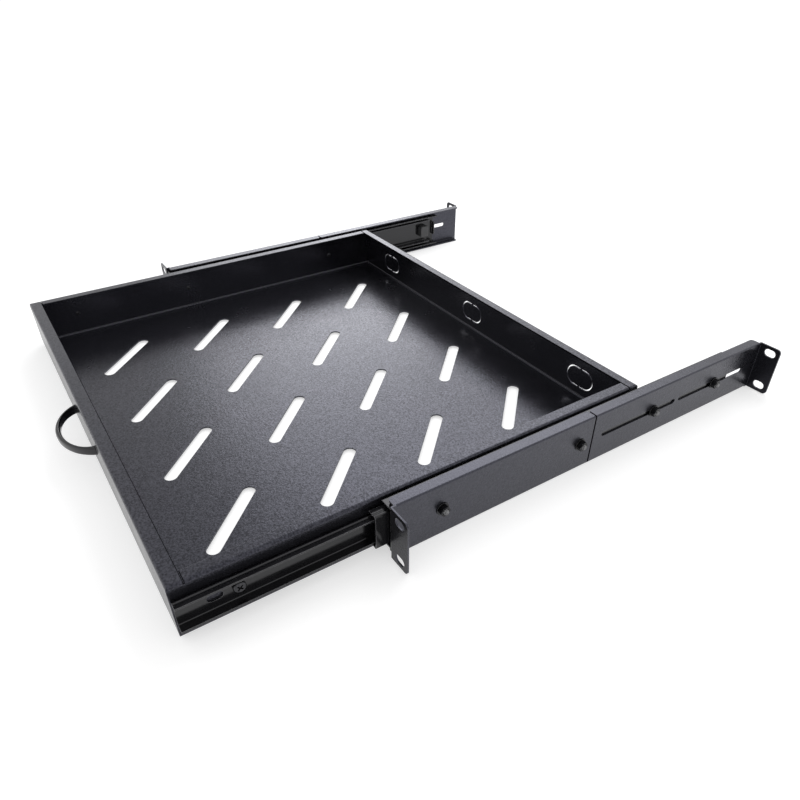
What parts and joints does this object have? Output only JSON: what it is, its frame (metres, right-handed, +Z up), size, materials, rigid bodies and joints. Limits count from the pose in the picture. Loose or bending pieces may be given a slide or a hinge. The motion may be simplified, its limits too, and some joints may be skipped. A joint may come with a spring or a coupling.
{
  "type": "sliding rack drawer",
  "caption": "Low sliding rack tray with vent slots and a bow pull, on telescopic ball slides, with slotted rack ears at front and rear brackets of adjustable depth.",
  "frame": {"origin": "centre of the front ears' hole pattern, on the ears' front face", "axes": "+X to the right seen from the front, +Y toward the rear of the rack, +Z up; the drawer pulls out along -Y"},
  "size_m": [0.4826, 0.5403, 0.044],
  "materials": {
    "bracket_powder_coat": "fine-textured black powder coat on folded sheet steel",
    "slide_black_coat": "thin black coat on rolled slide steel, satin",
    "bumper_plastic": "moulded dark grey plastic",
    "cage_steel": "zinc-plated strip with a film of grease",
    "ball_steel": "polished steel balls",
    "tray_powder_coat": "fine-textured black powder coat on folded sheet steel",
    "handle_black_gloss": "smooth gloss black",
    "black_screw_steel": "black zinc",
    "bolt_steel": "black zinc, worn brighter on the thread's end",
    "black_nut_steel": "black zinc"
  },
  "bodies": {
    "rack_side": {"front_bracket_left": "bracket_powder_coat", "front_bracket_right": "bracket_powder_coat", "outer_slide_member_left": "slide_black_coat", "outer_slide_member_right": "slide_black_coat", "front_bracket_bolts": "bolt_steel", "front_bracket_washers": "black_nut_steel", "front_bracket_nuts": "black_nut_steel", "rear_bracket_bolts": "bolt_steel", "rear_bracket_washers": "black_nut_steel", "rear_bracket_nuts": "black_nut_steel"},
    "rear_bracket_left": {"rear_bracket_left": "bracket_powder_coat"},
    "rear_bracket_right": {"rear_bracket_right": "bracket_powder_coat"},
    "middle_slide_right": {"middle_slide_member_right": "slide_black_coat", "closing_bumper_right": "bumper_plastic"},
    "middle_slide_left": {"middle_slide_member_left": "slide_black_coat", "closing_bumper_left": "bumper_plastic"},
    "drawer": {"tray_base": "tray_powder_coat", "tray_front_panel": "tray_powder_coat", "tray_rear_panel": "tray_powder_coat", "bow_handle": "handle_black_gloss", "handle_screws": "black_screw_steel", "inner_slide_member_left": "slide_black_coat", "inner_slide_member_right": "slide_black_coat", "slide_screws_left": "black_screw_steel", "slide_screws_right": "black_screw_steel"},
    "outer_cage_right": {"outer_ball_cage_right": "cage_steel", "outer_balls_right": "ball_steel"},
    "outer_cage_left": {"outer_ball_cage_left": "cage_steel", "outer_balls_left": "ball_steel"},
    "inner_cage_right": {"inner_ball_cage_right": "cage_steel", "inner_balls_right": "ball_steel"},
    "inner_cage_left": {"inner_ball_cage_left": "cage_steel", "inner_balls_left": "ball_steel"}
  },
  "joints": [
    {"name": "rear_bracket_left_adjust", "type": "slide", "parent": "rack_side", "child": "rear_bracket_left", "axis": [0, 1, 0], "range_m": [0, 0.042]},
    {"name": "rear_bracket_right_adjust", "type": "slide", "parent": "rack_side", "child": "rear_bracket_right", "axis": [0, 1, 0], "range_m": [0, 0.042]},
    {"name": "middle_slide_right_travel", "type": "slide", "parent": "rack_side", "child": "middle_slide_right", "axis": [0, -1, 0], "range_m": [-0.01, 0.16]},
    {"name": "middle_slide_left_travel", "type": "slide", "parent": "rack_side", "child": "middle_slide_left", "axis": [0, -1, 0], "range_m": [-0.01, 0.16]},
    {"name": "drawer_travel", "type": "slide", "parent": "middle_slide_right", "child": "drawer", "axis": [0, -1, 0], "range_m": [-0.1233, 0.0467]},
    {"name": "outer_cage_right_roll", "type": "slide", "parent": "rack_side", "child": "outer_cage_right", "axis": [0, -1, 0], "range_m": [-0.005, 0.08]},
    {"name": "outer_cage_left_roll", "type": "slide", "parent": "rack_side", "child": "outer_cage_left", "axis": [0, -1, 0], "range_m": [-0.005, 0.08]},
    {"name": "inner_cage_right_roll", "type": "slide", "parent": "middle_slide_right", "child": "inner_cage_right", "axis": [0, -1, 0], "range_m": [-0.06165, 0.02335]},
    {"name": "inner_cage_left_roll", "type": "slide", "parent": "middle_slide_left", "child": "inner_cage_left", "axis": [0, -1, 0], "range_m": [-0.06165, 0.02335]}
  ],
  "couplings": [
    {"joint": "middle_slide_left_travel", "follows": "middle_slide_right_travel", "ratio": 1},
    {"joint": "outer_cage_right_roll", "follows": "middle_slide_right_travel", "ratio": 0.5},
    {"joint": "outer_cage_left_roll", "follows": "middle_slide_right_travel", "ratio": 0.5},
    {"joint": "inner_cage_right_roll", "follows": "drawer_travel", "ratio": 0.5},
    {"joint": "inner_cage_left_roll", "follows": "drawer_travel", "ratio": 0.5}
  ]
}
